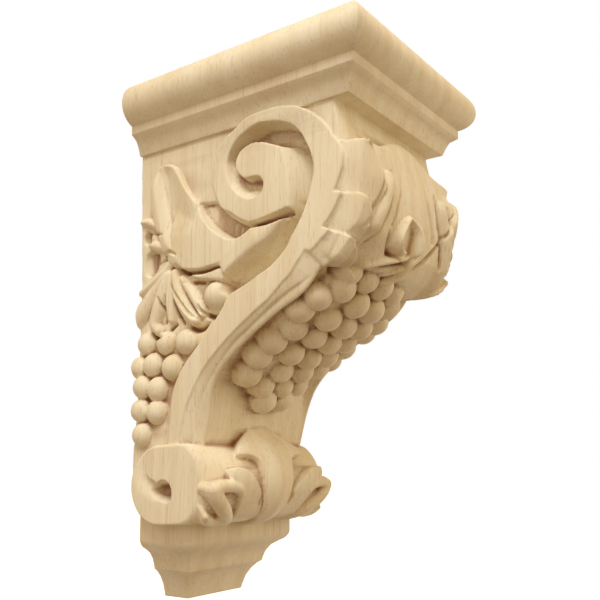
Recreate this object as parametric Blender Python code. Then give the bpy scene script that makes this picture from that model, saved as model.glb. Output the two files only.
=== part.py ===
"""Carved wooden corbel bracket: moulded cap, S-scroll sides, vine leaf, grapes, lower roll and stepped foot.

Metres, +Z up. The flat back lies in the plane Y = 0, the front looks along -Y, and both sides are alike.
The scroll and its carving are one free form. A place on it is written as two shares: the depth as a
share of NECK_DEPTH and the height as a share of the height under the cap, and x as a share of HALF_WIDTH.
The outlines start at the foot's underside, and the objects then sink by half the height, so that the
origin is in the middle of the back.
"""
import math

import bmesh
import bpy
from mathutils import Matrix, Vector

NAME = "carved_corbel"

# Whole corbel
HEIGHT = 0.356
HALF_WIDTH = 0.0618
NECK_DEPTH = 0.1647

# Cap, from its underside up: cove, fillet and bullnose
COVE_HEIGHT = 0.0145
COVE_REACH = 0.0088
COVE_HOLLOW = 0.0019
FILLET_HEIGHT = 0.0056
BULLNOSE_RADIUS = 0.0168
BULLNOSE_RISE = 0.0319
CREASE_LEDGE = 0.0010
CAP_SIDE_LIP = 0.0021
CAP_FRONT_LIP = 0.0115

# Foot, from its underside up: cove, step, cove and block
FOOT_HALF_WIDTH = 0.0277
FOOT_DEPTH = 0.0215
LOWER_COVE_HEIGHT = 0.0187
LOWER_COVE_REACH = 0.0108
LOWER_COVE_HOLLOW = 0.0023
UPPER_COVE_HEIGHT = 0.0135
UPPER_COVE_REACH = 0.0088
UPPER_COVE_HOLLOW = 0.0010
BLOCK_HEIGHT = 0.0420
BLOCK_ARRIS = 0.0058

# Scroll
PANEL_RECESS = 0.0032
SCROLL_PROUD = 0.0008
CHANNEL_DEPTH = 0.016
POCKET_DEPTH = 0.009
FLOOR_DROP = 0.0090
RIM_RADIUS = 0.0078
RIM_INSET = 0.0080
ROLL_RADIUS = 0.0240
ROLL_ROUND = 0.0100
ROLL_PROUD = 0.0024
ROLL_EYE_RADIUS = 0.0055
ROLL_EYE_DEPTH = 0.0100

# Carving
GRAPE_RADIUS = 0.0094
SIDE_GRAPE_RADIUS = 0.0078
SIDE_GRAPE_SINK = 0.0012
GRAPE_SPACING = 0.0186
GRAPE_PITCH = 0.0148
LEAF_RISE = 0.0170
LEAF_SINK = 0.0220
SIDE_LEAF_RISE = 0.0030
ROLL_LEAF_RISE = 0.0051
ROLL_LEAF_SINK = 0.0100

# Solid stock that a cut or a union needs
OVERCUT = 0.004
CURVE_STEPS = 3
FRONT_STEPS = 16
WELD = 0.00002
SHARP_ANGLE = math.radians(40)

WOOD_COLOUR = (0.70, 0.53, 0.33, 1.0)
WOOD_ROUGHNESS = 0.6

CAP_UNDERSIDE = HEIGHT - COVE_HEIGHT - FILLET_HEIGHT - BULLNOSE_RISE
BLOCK_FOOT = LOWER_COVE_HEIGHT + UPPER_COVE_HEIGHT
BLOCK_TOP = BLOCK_FOOT + BLOCK_HEIGHT

# Outlines of the scroll, as shares of NECK_DEPTH and of the height under the cap
SIDE_EDGE = [
    (1.010, 0.960), (1.024, 0.886), (1.022, 0.820), (1.018, 0.780), (0.976, 0.730), (0.800, 0.672),
    (0.602, 0.591), (0.497, 0.542), (0.376, 0.478), (0.318, 0.430), (0.296, 0.395), (0.285, 0.330),
]
RIDGE = [
    (1.000, 1.000), (1.020, 0.939), (1.024, 0.863), (1.017, 0.791), (0.978, 0.699), (0.868, 0.6145),
    (0.707, 0.567), (0.559, 0.514), (0.458, 0.466), (0.401, 0.409), (0.352, 0.320),
]
SCROLL_OUTER = [
    (0.760, 0.777), (0.628, 0.777), (0.536, 0.796), (0.462, 0.828), (0.414, 0.879), (0.412, 0.932),
    (0.450, 0.978), (0.514, 1.002), (0.598, 1.020), (0.679, 1.026), (0.784, 1.023), (0.885, 0.998),
    (0.957, 0.963), (1.002, 0.929),
]
SCROLL_REAR = [(0.208, 0.330), (0.208, 0.424), (0.281, 0.500), (0.495, 0.606), (0.560, 0.665), (0.620, 0.730)]
CHANNEL_OUTER = [
    (0.495, 0.606), (0.595, 0.656), (0.701, 0.709), (0.752, 0.738), (0.832, 0.776), (0.871, 0.805),
    (0.896, 0.836), (0.904, 0.874), (0.883, 0.913), (0.834, 0.958), (0.783, 0.977), (0.716, 0.988),
    (0.658, 0.990), (0.599, 0.983), (0.537, 0.966), (0.496, 0.939), (0.488, 0.915), (0.504, 0.880),
    (0.546, 0.850), (0.600, 0.832), (0.640, 0.832), (0.664, 0.842), (0.672, 0.860), (0.659, 0.875),
    (0.642, 0.880), (0.583, 0.882),
]
CHANNEL_INNER = [
    (0.556, 0.893), (0.539, 0.919), (0.549, 0.937), (0.588, 0.950), (0.664, 0.951), (0.711, 0.941),
    (0.783, 0.917), (0.838, 0.898), (0.859, 0.870), (0.850, 0.830), (0.810, 0.797), (0.760, 0.780),
    (0.730, 0.755), (0.625, 0.715), (0.552, 0.685), (0.489, 0.662), (0.474, 0.633),
]
POCKET = [
    (0.405, 0.870), (0.440, 0.838), (0.500, 0.808), (0.605, 0.776), (0.598, 0.764), (0.540, 0.757),
    (0.480, 0.768), (0.430, 0.800),
]
PANEL_FALL = [(0.945, 0.0), (0.830, 0.32), (0.665, 1.0)]
ROLL_AXIS = (0.300, 0.2487)
VOLUTE_AXIS = (0.147, 0.2487)
ROLL_EYE = (0.222, 0.232)


def add_object(name, mesh, collection):
    """Puts a mesh in a collection as an object, faces turned outward and round parts shaded smooth."""
    shell = bmesh.new()
    shell.from_mesh(mesh)
    bmesh.ops.recalc_face_normals(shell, faces=shell.faces)
    shell.to_mesh(mesh)
    shell.free()
    mesh.shade_smooth()
    mesh.set_sharp_from_angle(angle=SHARP_ANGLE)
    made = bpy.data.objects.new(name, mesh)
    collection.objects.link(made)
    return made


def welded_mesh(source):
    """The evaluated mesh of an object, with its loose caps and cuts welded."""
    mesh = bpy.data.meshes.new_from_object(source.evaluated_get(bpy.context.evaluated_depsgraph_get()))
    shell = bmesh.new()
    shell.from_mesh(mesh)
    bmesh.ops.remove_doubles(shell, verts=shell.verts, dist=WELD)
    shell.to_mesh(mesh)
    shell.free()
    return mesh


def smooth_path(points, steps=CURVE_STEPS):
    """A Catmull-Rom curve through the points, open at both ends."""
    path = []
    for i in range(len(points) - 1):
        before = Vector(points[max(i - 1, 0)])
        start, end = Vector(points[i]), Vector(points[i + 1])
        after = Vector(points[min(i + 2, len(points) - 1)])
        for step in range(steps):
            t = step / steps
            path.append(0.5 * (
                2 * start + (end - before) * t
                + (2 * before - 5 * start + 4 * end - after) * t ** 2
                + (3 * start - before - 3 * end + after) * t ** 3
            ))
    path.append(Vector(points[-1]))
    return path


def hollow_arc(start, end, hollow, steps=5):
    """A shallow arc between two points, bowed to the left of the way from start to end by the hollow."""
    start, end = Vector(start), Vector(end)
    side = Vector((start.y - end.y, end.x - start.x)).normalized()
    return [
        start.lerp(end, i / steps) + side * hollow * 4 * (i / steps) * (1 - i / steps)
        for i in range(steps + 1)
    ]


def round_arc(centre, radius, start_angle, end_angle, steps=6):
    """Points on a circle from one angle to another, in degrees."""
    angles = [math.radians(start_angle + (end_angle - start_angle) * i / steps) for i in range(steps + 1)]
    return [Vector((centre[0] + radius * math.cos(a), centre[1] + radius * math.sin(a))) for a in angles]


def scroll_points(shares):
    """Turns outline shares into depth and height."""
    return [Vector((depth * NECK_DEPTH, height * CAP_UNDERSIDE)) for depth, height in shares]


def plate(name, outline, low, high, across, collection):
    """A flat outline extruded from low to high. Across X the outline is (depth, height), else (x, height)."""
    curve = bpy.data.curves.new(name, "CURVE")
    curve.dimensions = "2D"
    curve.fill_mode = "BOTH"
    curve.extrude = (high - low) / 2
    spline = curve.splines.new("POLY")
    spline.points.add(len(outline) - 1)
    for point, place in zip(spline.points, outline):
        point.co = (place[0], place[1], 0, 1)
    spline.use_cyclic_u = True
    guide = bpy.data.objects.new(name, curve)
    collection.objects.link(guide)
    middle = (low + high) / 2
    if across == "X":
        axes = Matrix(((0, 0, -1), (-1, 0, 0), (0, 1, 0))).to_4x4()
        guide.matrix_world = Matrix.Translation((middle, 0, 0)) @ axes
    else:
        axes = Matrix(((1, 0, 0), (0, 0, -1), (0, 1, 0))).to_4x4()
        guide.matrix_world = Matrix.Translation((0, -middle, 0)) @ axes
    bpy.context.view_layer.update()
    mesh = welded_mesh(guide)
    mesh.transform(guide.matrix_world)
    bpy.data.objects.remove(guide)
    return add_object(name, mesh, collection)


def both_sides(name, outline, depth_in, proud, collection):
    """The same side plate at both faces, from depth_in under the side plane to proud of it."""
    plate(name + "_left", outline, -HALF_WIDTH - proud, -HALF_WIDTH + depth_in, "X", collection)
    plate(name + "_right", outline, HALF_WIDTH - depth_in, HALF_WIDTH + proud, "X", collection)


def boolean(target, operation, other):
    """Adds an exact Boolean with an object or a whole collection."""
    modifier = target.modifiers.new(operation.lower(), "BOOLEAN")
    modifier.operation = operation
    if isinstance(other, bpy.types.Collection):
        modifier.operand_type = "COLLECTION"
        modifier.collection = other
    else:
        modifier.object = other
    return modifier


def moulding(name, edge, half_width, depth, collection):
    """A moulding on three sides: its profile lofted through one rectangle at each of its points."""
    mesh = bpy.data.meshes.new(name)
    shell = bmesh.new()
    rings = []
    for reach, height in edge:
        wide = half_width + reach
        front = -depth - reach
        corners = ((-wide, OVERCUT), (-wide, front), (wide, front), (wide, OVERCUT))
        rings.append([shell.verts.new((x, y, height)) for x, y in corners])
    for below, above in zip(rings, rings[1:]):
        for i in range(4):
            shell.faces.new((below[i - 1], below[i], above[i], above[i - 1]))
    shell.faces.new(rings[0])
    shell.faces.new(rings[-1])
    shell.to_mesh(mesh)
    shell.free()
    return add_object(name, mesh, collection)


def cap_edge():
    """The cap's profile from its underside to its top, as reach past the neck's lip and height."""
    foot = CAP_UNDERSIDE
    fillet = foot + COVE_HEIGHT
    edge = hollow_arc((0, foot), (COVE_REACH, fillet), COVE_HOLLOW)
    edge.append(Vector((COVE_REACH, fillet + FILLET_HEIGHT)))
    drop = BULLNOSE_RISE - BULLNOSE_RADIUS
    lowest = -math.asin(drop / BULLNOSE_RADIUS)
    centre = (COVE_REACH + CREASE_LEDGE - BULLNOSE_RADIUS * math.cos(lowest), HEIGHT - BULLNOSE_RADIUS)
    edge += round_arc(centre, BULLNOSE_RADIUS, math.degrees(lowest), 90, steps=11)
    return edge


def foot_edge():
    """The foot's profile from its underside to the top of its block."""
    step = LOWER_COVE_REACH
    shoulder = step + UPPER_COVE_REACH
    edge = hollow_arc((0, 0), (step, LOWER_COVE_HEIGHT), LOWER_COVE_HOLLOW)
    edge += hollow_arc((step, LOWER_COVE_HEIGHT), (shoulder, BLOCK_FOOT), UPPER_COVE_HOLLOW)[1:]
    edge += round_arc((shoulder, BLOCK_FOOT + BLOCK_ARRIS), BLOCK_ARRIS, -60, 0, steps=4)
    edge.append(Vector((shoulder + BLOCK_ARRIS, BLOCK_TOP)))
    return edge


class FrontFace:
    """The ridge line of the scroll's front, measured along its length from under the cap."""

    def __init__(self):
        self.path = smooth_path(scroll_points(RIDGE), steps=12)
        self.length = [0.0]
        for before, after in zip(self.path, self.path[1:]):
            self.length.append(self.length[-1] + (after - before).length)

    def place(self, along, x, rise):
        """The point at a length along the ridge, at x, and rise out from it."""
        along = min(max(along, 0.0), self.length[-1] - 1e-6)
        i = max(k for k, length in enumerate(self.length) if length <= along)
        start, end = self.path[i], self.path[i + 1]
        spot = start.lerp(end, (along - self.length[i]) / (self.length[i + 1] - self.length[i]))
        way = (self.path[min(i + 3, len(self.path) - 1)] - self.path[max(i - 2, 0)]).normalized()
        out = Vector((-way.y, way.x))
        spot = spot + out * rise
        return Vector((x, -spot.x, spot.y))


def side_place(side):
    """Places on one side face: depth, height and rise from the side plane."""
    def place(depth, height, rise):
        return Vector((side * (HALF_WIDTH + rise), -depth, height))
    return place


def ball(name, centre, radius, collection, rings=5):
    """A grape."""
    mesh = bpy.data.meshes.new(name)
    shell = bmesh.new()
    bmesh.ops.create_uvsphere(shell, u_segments=rings + 2, v_segments=rings, radius=radius)
    bmesh.ops.translate(shell, verts=shell.verts, vec=centre)
    shell.to_mesh(mesh)
    shell.free()
    return add_object(name, mesh, collection)


def lobe(name, place, start, end, half_width, rise, sink, bow, collection, segments=8, fullness=1.0):
    """A leaf lobe: a ball drawn out from start to end and bowed sideways, fuller below a fullness of 1."""
    start, end = Vector(start), Vector(end)
    run = end - start
    side = Vector((-run.y, run.x)).normalized()
    mesh = bpy.data.meshes.new(name)
    shell = bmesh.new()
    bmesh.ops.create_uvsphere(shell, u_segments=segments, v_segments=segments - 2, radius=1.0)
    for vertex in shell.verts:
        across, up, along = vertex.co
        t = (along + 1) / 2
        width = half_width * (1.0 - 0.35 * t)
        spot = start + run * t + side * (across * width + bow * 4 * t * (1 - t))
        level = abs(up) ** fullness
        vertex.co = place(spot.x, spot.y, level * rise if up > 0 else -level * sink)
    shell.to_mesh(mesh)
    shell.free()
    return add_object(name, mesh, collection)


def tube(name, points, radius, collection):
    """A round strip along a path."""
    curve = bpy.data.curves.new(name, "CURVE")
    curve.dimensions = "3D"
    curve.bevel_depth = radius
    curve.bevel_resolution = 2
    curve.use_fill_caps = True
    spline = curve.splines.new("POLY")
    spline.points.add(len(points) - 1)
    for point, place in zip(spline.points, points):
        point.co = (*place, 1)
    guide = bpy.data.objects.new(name, curve)
    collection.objects.link(guide)
    bpy.context.view_layer.update()
    mesh = welded_mesh(guide)
    bpy.data.objects.remove(guide)
    return add_object(name, mesh, collection)


def sink_panels(core):
    """Lets the core's sides fall away from the neck's full width to the sunk panels below."""
    shell = bmesh.new()
    shell.from_mesh(core.data)
    levels = [share * CAP_UNDERSIDE for share, _ in PANEL_FALL]
    for level in levels:
        geometry = shell.verts[:] + shell.edges[:] + shell.faces[:]
        bmesh.ops.bisect_plane(shell, geom=geometry, plane_co=(0, 0, level), plane_no=(0, 0, 1), dist=WELD)
    for vertex in shell.verts:
        sunk = PANEL_FALL[0][1]
        for (upper, start), (lower, end) in zip(PANEL_FALL, PANEL_FALL[1:]):
            t = (upper * CAP_UNDERSIDE - vertex.co.z) / ((upper - lower) * CAP_UNDERSIDE)
            if t > 0:
                sunk = start + (end - start) * min(t, 1)
        vertex.co.x *= 1 - sunk * PANEL_RECESS / HALF_WIDTH
    shell.to_mesh(core.data)
    shell.free()


def make_body(pieces):
    """The S-shaped body: a core at panel level, the flush scrolls, the sunk front and its rims."""
    depth = NECK_DEPTH
    height = CAP_UNDERSIDE
    low = ROLL_AXIS[1] * height
    edge = smooth_path(scroll_points(SIDE_EDGE))
    core = [Vector((-OVERCUT, height + OVERCUT)), Vector((depth, height + OVERCUT))]
    core += [Vector((depth, height * 0.97))] + edge
    core += [Vector((edge[-1].x, low)), Vector((-OVERCUT, low))]
    sink_panels(plate("core", core, -HALF_WIDTH, HALF_WIDTH, "X", pieces))

    scroll = smooth_path(scroll_points(SCROLL_OUTER), steps=2) + edge[2:]
    scroll += smooth_path(scroll_points(SCROLL_REAR), steps=2)
    both_sides("scroll", scroll, CHANNEL_DEPTH * 1.6, SCROLL_PROUD, pieces)

    front = FrontFace()
    total = front.length[-1]
    floor = [Vector((-OVERCUT, height * 0.95)), Vector((depth, height * 0.95))]
    for i in range(FRONT_STEPS + 1):
        spot = front.place(total * (0.12 + 0.88 * i / FRONT_STEPS), 0, -FLOOR_DROP)
        floor.append(Vector((-spot.y, spot.z)))
    floor += [Vector((floor[-1].x, low)), Vector((-OVERCUT, low))]
    reach = HALF_WIDTH - RIM_INSET
    plate("floor", floor, -reach, reach, "X", pieces)
    for side in (-1, 1):
        path = [
            front.place(total * (0.10 + 0.90 * i / FRONT_STEPS), side * reach, -RIM_RADIUS)
            for i in range(FRONT_STEPS + 1)
        ]
        tube("rim_%d" % side, path, RIM_RADIUS, pieces)


def make_roll(pieces):
    """The lower roll with its two volutes."""
    centre = scroll_points([ROLL_AXIS])[0]
    mesh = bpy.data.meshes.new("roll")
    shell = bmesh.new()
    length = 2 * (HALF_WIDTH + ROLL_PROUD)
    bmesh.ops.create_cone(
        shell, cap_ends=True, segments=24, radius1=ROLL_RADIUS, radius2=ROLL_RADIUS, depth=length,
    )
    rims = [e for e in shell.edges if len({f.normal.to_tuple(2) for f in e.link_faces}) == 2
            and any(len(f.verts) > 4 for f in e.link_faces)]
    bmesh.ops.bevel(shell, geom=rims, offset=ROLL_ROUND, segments=3, profile=0.5, affect="EDGES")
    turn = Matrix.Translation((0, -centre.x, centre.y)) @ Matrix.Rotation(math.pi / 2, 4, "Y")
    bmesh.ops.transform(shell, verts=shell.verts, matrix=turn)
    shell.to_mesh(mesh)
    shell.free()
    add_object("roll", mesh, pieces)
    rear = scroll_points([VOLUTE_AXIS])[0]
    fore = rear.lerp(centre, 0.2)
    cheek = round_arc(rear, ROLL_RADIUS, 90, 270, steps=10) + round_arc(fore, ROLL_RADIUS, 270, 450, steps=10)
    both_sides("cheek", cheek, HALF_WIDTH / 2, ROLL_PROUD, pieces)


def make_side_carving(pieces):
    """The leaf and the small bunch of grapes on each side panel, as shares like the scroll."""
    grapes = [
        (0.439, 0.636), (0.274, 0.548), (0.099, 0.503), (0.206, 0.495), (0.056, 0.459), (0.131, 0.450),
        (0.044, 0.404), (0.127, 0.400), (0.054, 0.352),
    ]
    lobes = [
        ((0.340, 0.725), (0.120, 0.968), 0.058, 0.12), ((0.500, 0.735), (0.215, 0.955), 0.055, 0.03),
        ((0.600, 0.745), (0.385, 0.850), 0.062, -0.05), ((0.200, 0.760), (0.030, 0.852), 0.045, 0.02),
        ((0.240, 0.730), (0.040, 0.775), 0.040, 0.02), ((0.720, 0.745), (0.420, 0.715), 0.055, -0.02),
        ((0.290, 0.715), (0.405, 0.585), 0.050, -0.02), ((0.270, 0.715), (0.315, 0.580), 0.050, 0.0),
        ((0.240, 0.720), (0.115, 0.560), 0.050, 0.02), ((0.220, 0.720), (0.045, 0.540), 0.045, 0.04),
        ((0.260, 0.700), (0.205, 0.555), 0.045, 0.0),
    ]
    for side in (-1, 1):
        place = side_place(side)
        for i, (depth, height) in enumerate(grapes):
            spot = place(depth * NECK_DEPTH, height * CAP_UNDERSIDE, -SIDE_GRAPE_SINK)
            ball("side_grape_%d_%d" % (side, i), spot, SIDE_GRAPE_RADIUS, pieces)
        for i, (start, end, width, bow) in enumerate(lobes):
            ends = scroll_points([start, end])
            lobe("side_lobe_%d_%d" % (side, i), place, ends[0], ends[1], width * NECK_DEPTH, SIDE_LEAF_RISE,
                 2.5 * PANEL_RECESS, bow * NECK_DEPTH, pieces, segments=7, fullness=0.6)


def make_front_carving(pieces):
    """The vine leaf over the belly and the bunch of grapes that hangs under it."""
    front = FrontFace()
    total = front.length[-1]
    half = HALF_WIDTH
    lobe("leaf_bed", front.place, (0.400 * total, 0), (0.035 * total, 0), 1.02 * half, 0.95 * LEAF_RISE,
         LEAF_SINK, 0, pieces, segments=11, fullness=0.5)
    lobes = [
        (0.335, 0.0, 0.050, 0.0, 0.46, 1.22, 0.0), (0.330, 0.34, 0.120, 0.48, 0.34, 1.20, 0.02),
        (0.300, 0.60, 0.075, 0.74, 0.27, 0.95, 0.02), (0.335, 0.58, 0.160, 0.86, 0.27, 1.42, 0.04),
        (0.405, 0.55, 0.265, 0.84, 0.24, 1.36, 0.04),
    ]
    for i, (start, x0, end, x1, width, rise, bow) in enumerate(lobes):
        for side in ((0,) if x1 == 0 else (-1, 1)):
            lobe("leaf_%d_%d" % (i, side), front.place, (start * total, side * x0 * half),
                 (end * total, side * x1 * half), width * half, rise * LEAF_RISE, LEAF_SINK,
                 side * bow * half, pieces)
    lobe("leaf_curl", front.place, (0.325 * total, 0), (0.215 * total, 0), 0.21 * half, 1.36 * LEAF_RISE,
         LEAF_SINK, 0, pieces)
    lobe("bunch", front.place, (0.34 * total, 0), (0.90 * total, 0), 0.70 * half, 0.25 * GRAPE_RADIUS, LEAF_SINK,
         0, pieces)
    rows = int(round(0.49 * total / GRAPE_PITCH))
    for row in range(rows):
        share = row / (rows - 1)
        columns = 5 - (row % 2) if share < 0.72 else (3 - (row % 2))
        for column in range(columns):
            x = (column - (columns - 1) / 2) * GRAPE_SPACING
            fall = 1 - (abs(x) / (2.6 * GRAPE_SPACING)) ** 2
            rise = -FLOOR_DROP + 0.30 * GRAPE_RADIUS + 0.85 * GRAPE_RADIUS * fall * (1 - 0.35 * share)
            spot = front.place(total * 0.385 + row * GRAPE_PITCH, x, rise)
            ball("grape_%d_%d" % (row, column), spot, GRAPE_RADIUS, pieces)


def make_roll_carving(pieces):
    """The leaf that wraps over the lower roll."""
    centre = scroll_points([ROLL_AXIS])[0]

    def place(angle, x, rise):
        a = math.radians(angle)
        reach = ROLL_RADIUS + rise
        return Vector((x, -centre.x - reach * math.cos(a), centre.y + reach * math.sin(a)))

    half = HALF_WIDTH
    lobe("roll_leaf", place, (-48, 0), (88, 0), 0.34 * half, ROLL_LEAF_RISE, ROLL_LEAF_SINK, 0, pieces)
    for side in (-1, 1):
        lobe("roll_leaf_%d" % side, place, (-50, side * 0.30 * half), (50, side * 0.52 * half), 0.24 * half,
             ROLL_LEAF_RISE, ROLL_LEAF_SINK, 0, pieces)
        lobe("roll_curl_%d" % side, place, (-52, side * 0.55 * half), (12, side * 0.80 * half), 0.14 * half,
             ROLL_LEAF_RISE, ROLL_LEAF_SINK, 0, pieces, segments=7)


def make_cutters(cutters):
    """The deep channel and pocket of each scroll, the eye of each lower volute, and the flat back."""
    channel = smooth_path(scroll_points(CHANNEL_OUTER), steps=2)
    channel += smooth_path(scroll_points(CHANNEL_INNER), steps=2)
    both_sides("channel", channel, CHANNEL_DEPTH, OVERCUT, cutters)
    both_sides("pocket", smooth_path(scroll_points(POCKET), steps=2), POCKET_DEPTH, OVERCUT, cutters)
    eye = round_arc(scroll_points([ROLL_EYE])[0], ROLL_EYE_RADIUS, 0, 330, steps=11)
    both_sides("eye", eye, ROLL_EYE_DEPTH, OVERCUT, cutters)
    back = [Vector((-0.5 * NECK_DEPTH, -0.2 * HEIGHT)), Vector((0, -0.2 * HEIGHT))]
    back += [Vector((0, 1.2 * HEIGHT)), Vector((-0.5 * NECK_DEPTH, 1.2 * HEIGHT))]
    plate("back", back, -2 * HALF_WIDTH, 2 * HALF_WIDTH, "X", cutters)


def wood():
    """Plain unfinished hardwood."""
    material = bpy.data.materials.new("hardwood")
    material.use_nodes = True
    shader = material.node_tree.nodes["Principled BSDF"]
    shader.inputs["Base Color"].default_value = WOOD_COLOUR
    shader.inputs["Roughness"].default_value = WOOD_ROUGHNESS
    shader.inputs["Metallic"].default_value = 0.0
    return material


def main():
    for spent in list(bpy.data.objects):
        bpy.data.objects.remove(spent)
    scene = bpy.context.scene.collection
    parts = bpy.data.collections.new("corbel_bracket")
    pieces = bpy.data.collections.new("carving_stock")
    cutters = bpy.data.collections.new("cutters")
    for made in (parts, pieces, cutters):
        scene.children.link(made)

    corbel = moulding(NAME, cap_edge(), HALF_WIDTH + CAP_SIDE_LIP, NECK_DEPTH + CAP_FRONT_LIP, parts)
    moulding("foot", foot_edge(), FOOT_HALF_WIDTH, FOOT_DEPTH, pieces)
    make_body(pieces)
    make_roll(pieces)
    make_side_carving(pieces)
    make_front_carving(pieces)
    make_roll_carving(pieces)
    make_cutters(cutters)
    corbel.location.z = -HEIGHT / 2
    for guide in list(pieces.objects) + list(cutters.objects):
        guide.location.z = -HEIGHT / 2
        guide.hide_render = True
        guide.display_type = "WIRE"
    boolean(corbel, "UNION", pieces)
    boolean(corbel, "DIFFERENCE", cutters)
    corbel.data.materials.append(wood())


if __name__ == "__main__":
    main()
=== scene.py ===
"""Dressed model of a carved wooden corbel: a moulded cap and foot, and the carved body between them.

Lengths are in metres. The carving functions work in millimetres, with the depth from the wall and the
height from the foot's underside.
"""

import math

import bmesh
import bpy
import numpy as np
from bpy.props import FloatProperty, IntProperty, StringProperty
from mathutils import Matrix, Vector


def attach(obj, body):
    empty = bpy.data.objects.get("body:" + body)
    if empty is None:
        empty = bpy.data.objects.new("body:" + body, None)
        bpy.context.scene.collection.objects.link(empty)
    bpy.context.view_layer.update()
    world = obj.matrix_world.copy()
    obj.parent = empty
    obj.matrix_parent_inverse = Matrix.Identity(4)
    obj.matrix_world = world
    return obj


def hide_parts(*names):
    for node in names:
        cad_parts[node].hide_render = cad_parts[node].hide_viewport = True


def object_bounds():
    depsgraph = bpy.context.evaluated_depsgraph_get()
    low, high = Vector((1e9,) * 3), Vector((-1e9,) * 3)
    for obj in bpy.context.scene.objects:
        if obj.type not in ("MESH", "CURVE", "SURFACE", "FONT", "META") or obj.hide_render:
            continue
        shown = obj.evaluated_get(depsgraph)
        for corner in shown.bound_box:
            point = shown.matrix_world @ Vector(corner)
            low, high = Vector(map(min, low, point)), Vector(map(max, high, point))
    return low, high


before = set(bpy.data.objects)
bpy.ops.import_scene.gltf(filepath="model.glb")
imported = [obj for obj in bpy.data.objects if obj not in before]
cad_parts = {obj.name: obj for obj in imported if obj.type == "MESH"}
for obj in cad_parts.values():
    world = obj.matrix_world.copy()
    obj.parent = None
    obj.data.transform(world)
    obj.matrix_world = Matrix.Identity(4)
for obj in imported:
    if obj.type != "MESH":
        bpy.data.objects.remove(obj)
CAD_BOX = [[float(value) for value in corner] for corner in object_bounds()]

bl_info = {
    "name": "Carved corbel",
    "version": (1, 0, 0),
    "blender": (4, 5, 0),
    "location": "3D View > Sidebar > Corbel",
    "description": "Models a carved wooden corbel with a moulded cap and foot",
    "category": "Object",
}

NODE = "carved_corbel"
MM = 0.001
DROP = -CAD_BOX[0][2] / MM
FAR = 1000.0
# From the carving's axes to the frame's: the depth runs towards the room, and the middle is half way up
TO_ROOM = np.array([1, -1, 1])
MIDDLE = np.array([0, 0, DROP])
# Reaches over which the carving is measured for how shut in it is
# These reaches measure the mask of the painted shade in the cuts
HOLLOW_REACHES = (3.0, 7.0)

# Half width at the neck, and the ridge line of the front from under the cap, as (depth, height)
HALF = 61.7
RIDGE = [
    (164.2, 319.5), (164.7, 303.5), (167.6, 285), (168.6, 262), (167.5, 240), (161, 212), (143, 186.5),
    (116.5, 172),
    (92, 156), (75.5, 141.5), (66, 124), (58, 97),
]
NECK_LENGTH = 16.0
# The way of the leaf over the lower roll, from the hollow above it to its underside
ROLL_WAY = [
    (52, 124), (55, 113), (60.5, 104), (68, 95.5), (73, 86), (74.8, 76), (72.5, 65), (66, 56.5),
    (57, 52), (46, 50.5),
]
ROLL_ENDS = ((26.5, 74.6), (48.0, 75.6))
ROLL_RADIUS = 25.0
ROLL_HALF = 64.1
# Where the carving stops: half width, depth and heights of its grid, the trunk's ends and the cap's underside
BODY_HALF = 76
BODY_DEPTH = 200
BODY_LOW = 43
BODY_HIGH = 319
TRUNK_LOW = 76
TRUNK_HIGH = 316
CAP_LOW = 304.1
LEAF_THICKNESS = 12
LEAF_HALF = 68
# How much further down the front leaf's lobes start on the far side
LOBE_SHIFT = 9
# The camera: place in metres, turn from the wall, tilt and lean in degrees, and lens in millimetres
CAMERA_PLACE = (-0.43720, -0.40513, -0.08725)
CAMERA_TURNS = (-54.61, 11.30, -0.37)
CAMERA_LENS = 47.66
# Width of the floor in metres, and shares of the light from all around that come from below and from above
FLOOR_SIZE = 120
GLOW_SPAN = 0.6
GLOW_BELOW = 0.6
GLOW_ABOVE = 1.2
# A carved slope is measured straight down up to this steepness
STEEPEST = 4


def spline(points, count):
    """A smooth path through the points, as an array of count places evenly along it."""
    points = np.asarray(points, float)
    padded = np.vstack([2 * points[0] - points[1], points, 2 * points[-1] - points[-2]])
    t = np.linspace(0, 1, 16, endpoint=False)[:, None]
    path = []
    for before, start, end, after in zip(padded, padded[1:], padded[2:], padded[3:]):
        path.append(0.5 * (
            2 * start + (end - before) * t + (2 * before - 5 * start + 4 * end - after) * t ** 2
            + (3 * start - before - 3 * end + after) * t ** 3
        ))
    path = np.vstack(path + [points[-1:]])
    length = np.r_[0, np.cumsum(np.linalg.norm(np.diff(path[:, :2], axis=0), axis=1))]
    places = np.linspace(0, length[-1], count)
    return np.stack([np.interp(places, length, path[:, k]) for k in range(path.shape[1])], axis=1)


def smooth(t):
    """0 below 0, 1 above 1 and an even slope between."""
    t = np.clip(t, 0, 1)
    return t * t * (3 - 2 * t)


def nearest(u, v, path):
    """For each place on a grid: the distance to a path, the way along it and the side it is on."""
    shape = np.broadcast(u, v).shape
    pu = np.broadcast_to(u, shape).ravel()
    pv = np.broadcast_to(v, shape).ravel()
    best = np.full(pu.shape, FAR)
    along = np.zeros(pu.shape)
    side = np.ones(pu.shape)
    for i in range(len(path) - 1):
        a, b = path[i, :2], path[i + 1, :2]
        run = b - a
        size = max(run @ run, 1e-9)
        t = np.clip(((pu - a[0]) * run[0] + (pv - a[1]) * run[1]) / size, 0, 1)
        du, dv = pu - a[0] - t * run[0], pv - a[1] - t * run[1]
        far = np.hypot(du, dv)
        closer = far < best
        best = np.where(closer, far, best)
        along = np.where(closer, i + t, along)
        side = np.where(closer, np.sign(run[0] * dv - run[1] * du), side)
    return best.reshape(shape), along.reshape(shape) / (len(path) - 1), side.reshape(shape)


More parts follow.
